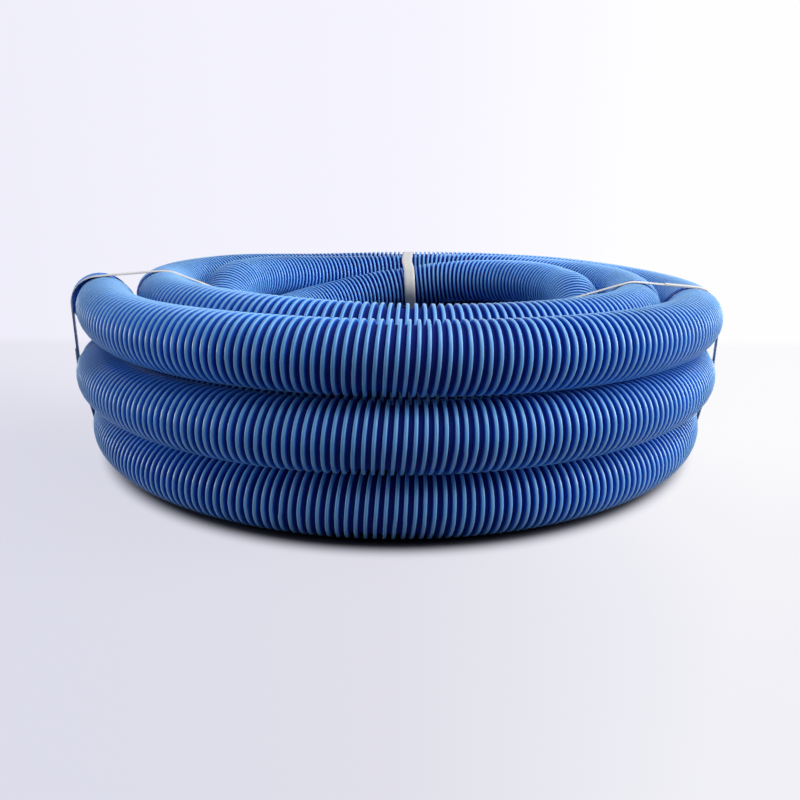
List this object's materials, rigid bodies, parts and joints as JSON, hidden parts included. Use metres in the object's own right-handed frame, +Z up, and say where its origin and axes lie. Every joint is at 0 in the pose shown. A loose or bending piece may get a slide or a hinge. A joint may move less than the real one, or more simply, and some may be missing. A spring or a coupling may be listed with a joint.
{
  "type": "pool vacuum hose",
  "caption": "Ribbed flexible pool vacuum hose with open cut ends, wound as a flat round coil and tied with flat straps.",
  "frame": {"origin": "on the floor, under the middle of the coil's outline", "axes": "+Z up along the coil's axis, -Y to the coil's front, with the outer open end at the left, -X"},
  "size_m": [0.5712, 0.5728, 0.1495],
  "materials": {
    "hose_plastic": "satin blue EVA, moulded in ribs",
    "strap_plastic": "warm white polypropylene band, fine lengthwise grain"
  },
  "bodies": {
    "root": {"hose": "hose_plastic", "strap_left": "strap_plastic", "strap_right": "strap_plastic", "strap_back": "strap_plastic"}
  },
  "joints": []
}
